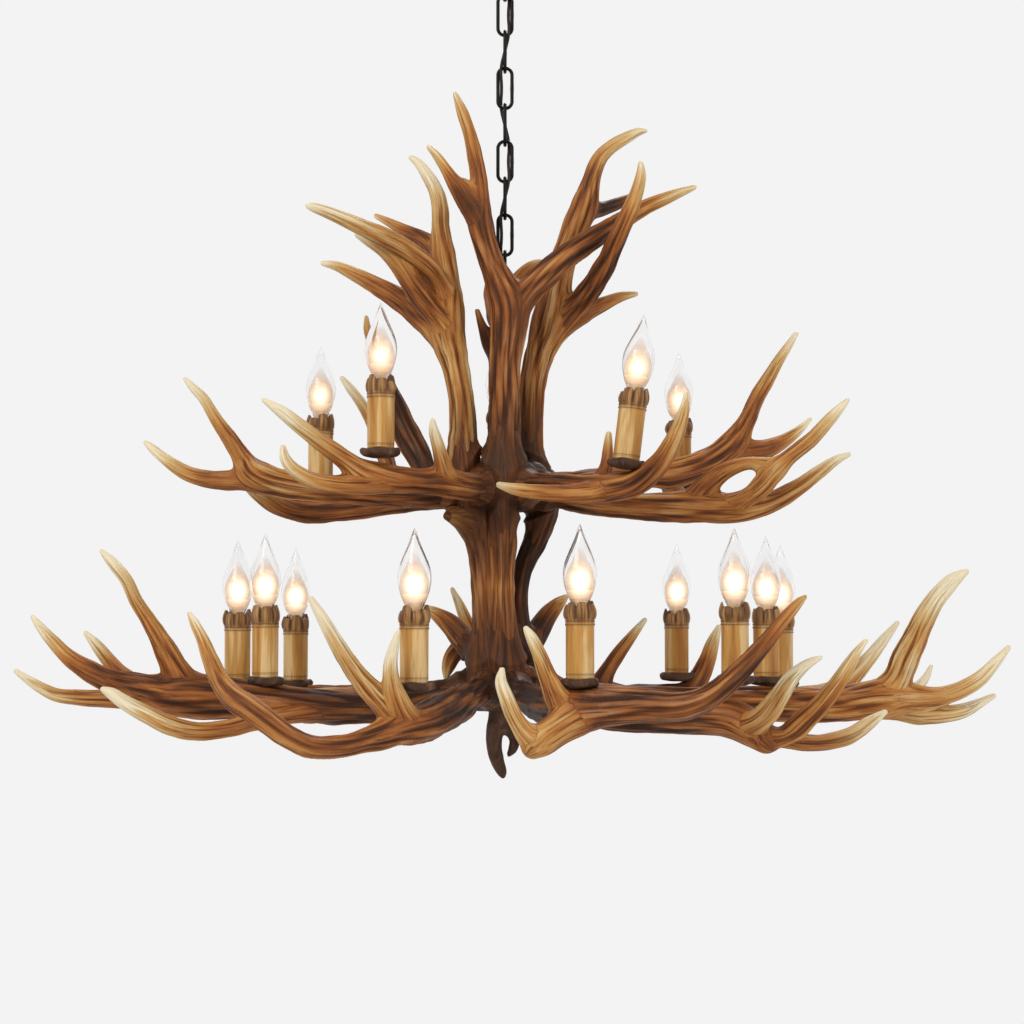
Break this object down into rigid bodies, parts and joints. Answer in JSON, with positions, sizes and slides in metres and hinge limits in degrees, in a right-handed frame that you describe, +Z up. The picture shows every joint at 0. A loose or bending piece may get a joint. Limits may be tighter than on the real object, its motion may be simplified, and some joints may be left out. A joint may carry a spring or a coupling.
{
  "type": "antler chandelier",
  "caption": "Two-tier chandelier of interlocked resin antlers with candle-sleeve lights, hung from a ceiling canopy on an oval-link chain.",
  "frame": {"origin": "centre of the canopy rim on the ceiling plane", "axes": "+Z up, +X to the right of a person who looks at the front, who stands at -Y"},
  "size_m": [1.121, 0.8333, 0.9849],
  "materials": {
    "black_metal": "black powder coat, satin",
    "chain_black": "black enamel on steel wire, satin",
    "screw_steel": "zinc plated",
    "cord_brown": "brown insulation, matte",
    "dark_resin": "cast resin stained dark brown, matte",
    "antler_resin": "cast resin stained brown to ivory, satin",
    "candle_resin": "cast resin, streaked amber wax look, satin",
    "socket_plastic": "moulded lamp holder, matte",
    "bulb_glass": "clear glass, lit"
  },
  "bodies": {
    "ceiling_fitting": {"mounting_bar": "black_metal", "bar_screws": "screw_steel", "canopy": "black_metal", "canopy_loop": "black_metal", "canopy_collar": "black_metal", "supply_cord": "cord_brown"},
    "chain_link_1_body": {"chain_link_1": "chain_black"},
    "chain_link_2_body": {"chain_link_2": "chain_black"},
    "chain_link_3_body": {"chain_link_3": "chain_black"},
    "chain_link_4_body": {"chain_link_4": "chain_black"},
    "chain_link_5_body": {"chain_link_5": "chain_black"},
    "chain_link_6_body": {"chain_link_6": "chain_black"},
    "chain_link_7_body": {"chain_link_7": "chain_black"},
    "chain_link_8_body": {"chain_link_8": "chain_black"},
    "chandelier": {"hanger_loop": "black_metal", "hanger_rod": "screw_steel", "rod_nuts": "screw_steel", "upper_hub": "dark_resin", "lower_hub": "dark_resin", "finial": "dark_resin", "crown_antler_left": "antler_resin", "crown_antler_front": "antler_resin", "crown_antler_right": "antler_resin", "crown_antler_back": "antler_resin", "trunk_antler_front": "antler_resin", "trunk_antler_right": "antler_resin", "trunk_antler_back": "antler_resin", "upper_antler_left": "antler_resin", "upper_antler_front_left": "antler_resin", "upper_antler_back_left": "antler_resin", "upper_antler_front_right": "antler_resin", "upper_antler_right": "antler_resin", "upper_antler_back_right": "antler_resin", "upper_antler_back": "antler_resin", "lower_antler_front_left": "antler_resin", "lower_antler_front_right": "antler_resin", "lower_antler_left": "antler_resin", "lower_antler_back_left": "antler_resin", "lower_antler_back": "antler_resin", "lower_antler_back_right": "antler_resin", "lower_antler_right": "antler_resin", "lower_antler_right_front": "antler_resin", "candle_pans": "dark_resin", "candle_sleeves": "candle_resin", "lamp_sockets": "socket_plastic"},
    "bulb_1_body": {"bulb_1": "bulb_glass"},
    "bulb_2_body": {"bulb_2": "bulb_glass"},
    "bulb_3_body": {"bulb_3": "bulb_glass"},
    "bulb_4_body": {"bulb_4": "bulb_glass"},
    "bulb_5_body": {"bulb_5": "bulb_glass"},
    "bulb_6_body": {"bulb_6": "bulb_glass"},
    "bulb_7_body": {"bulb_7": "bulb_glass"},
    "bulb_8_body": {"bulb_8": "bulb_glass"},
    "bulb_9_body": {"bulb_9": "bulb_glass"},
    "bulb_10_body": {"bulb_10": "bulb_glass"},
    "bulb_11_body": {"bulb_11": "bulb_glass"},
    "bulb_12_body": {"bulb_12": "bulb_glass"},
    "bulb_13_body": {"bulb_13": "bulb_glass"},
    "bulb_14_body": {"bulb_14": "bulb_glass"},
    "bulb_15_body": {"bulb_15": "bulb_glass"}
  },
  "joints": [
    {"name": "link_1_swing", "type": "hinge", "parent": "ceiling_fitting", "child": "chain_link_1_body", "pos_m": [0, 0, -0.0835], "axis": [0, 1, 0], "range_deg": [-6, 6], "deforming": ["supply_cord"]},
    {"name": "link_2_swing", "type": "hinge", "parent": "chain_link_1_body", "child": "chain_link_2_body", "pos_m": [0, 0, -0.1251], "axis": [1, 0, 0], "range_deg": [-6, 6]},
    {"name": "link_3_swing", "type": "hinge", "parent": "chain_link_2_body", "child": "chain_link_3_body", "pos_m": [0, 0, -0.1672], "axis": [0, 1, 0], "range_deg": [-6, 6]},
    {"name": "link_4_swing", "type": "hinge", "parent": "chain_link_3_body", "child": "chain_link_4_body", "pos_m": [0, 0, -0.2093], "axis": [1, 0, 0], "range_deg": [-6, 6]},
    {"name": "link_5_swing", "type": "hinge", "parent": "chain_link_4_body", "child": "chain_link_5_body", "pos_m": [0, 0, -0.2514], "axis": [0, 1, 0], "range_deg": [-6, 6]},
    {"name": "link_6_swing", "type": "hinge", "parent": "chain_link_5_body", "child": "chain_link_6_body", "pos_m": [0, 0, -0.2935], "axis": [1, 0, 0], "range_deg": [-6, 6]},
    {"name": "link_7_swing", "type": "hinge", "parent": "chain_link_6_body", "child": "chain_link_7_body", "pos_m": [0, 0, -0.3356], "axis": [0, 1, 0], "range_deg": [-6, 6]},
    {"name": "link_8_swing", "type": "hinge", "parent": "chain_link_7_body", "child": "chain_link_8_body", "pos_m": [0, 0, -0.3777], "axis": [1, 0, 0], "range_deg": [-6, 6]},
    {"name": "chandelier_swing", "type": "hinge", "parent": "chain_link_8_body", "child": "chandelier", "pos_m": [0, 0, -0.4198], "axis": [0, 1, 0], "range_deg": [-6, 6]},
    {"name": "bulb_1_out", "type": "slide", "parent": "chandelier", "child": "bulb_1_body", "axis": [0, 0, 1], "range_m": [0, 0.03]},
    {"name": "bulb_2_out", "type": "slide", "parent": "chandelier", "child": "bulb_2_body", "axis": [0, 0, 1], "range_m": [0, 0.03]},
    {"name": "bulb_3_out", "type": "slide", "parent": "chandelier", "child": "bulb_3_body", "axis": [0, 0, 1], "range_m": [0, 0.03]},
    {"name": "bulb_4_out", "type": "slide", "parent": "chandelier", "child": "bulb_4_body", "axis": [0, 0, 1], "range_m": [0, 0.03]},
    {"name": "bulb_5_out", "type": "slide", "parent": "chandelier", "child": "bulb_5_body", "axis": [0, 0, 1], "range_m": [0, 0.03]},
    {"name": "bulb_6_out", "type": "slide", "parent": "chandelier", "child": "bulb_6_body", "axis": [0, 0, 1], "range_m": [0, 0.03]},
    {"name": "bulb_7_out", "type": "slide", "parent": "chandelier", "child": "bulb_7_body", "axis": [0, 0, 1], "range_m": [0, 0.03]},
    {"name": "bulb_8_out", "type": "slide", "parent": "chandelier", "child": "bulb_8_body", "axis": [0, 0, 1], "range_m": [0, 0.03]},
    {"name": "bulb_9_out", "type": "slide", "parent": "chandelier", "child": "bulb_9_body", "axis": [0, 0, 1], "range_m": [0, 0.03]},
    {"name": "bulb_10_out", "type": "slide", "parent": "chandelier", "child": "bulb_10_body", "axis": [0, 0, 1], "range_m": [0, 0.03]},
    {"name": "bulb_11_out", "type": "slide", "parent": "chandelier", "child": "bulb_11_body", "axis": [0, 0, 1], "range_m": [0, 0.03]},
    {"name": "bulb_12_out", "type": "slide", "parent": "chandelier", "child": "bulb_12_body", "axis": [0, 0, 1], "range_m": [0, 0.03]},
    {"name": "bulb_13_out", "type": "slide", "parent": "chandelier", "child": "bulb_13_body", "axis": [0.1219, 0, 0.9925], "range_m": [0, 0.03]},
    {"name": "bulb_14_out", "type": "slide", "parent": "chandelier", "child": "bulb_14_body", "axis": [0, 0, 1], "range_m": [0, 0.03]},
    {"name": "bulb_15_out", "type": "slide", "parent": "chandelier", "child": "bulb_15_body", "axis": [0, 0, 1], "range_m": [0, 0.03]}
  ]
}
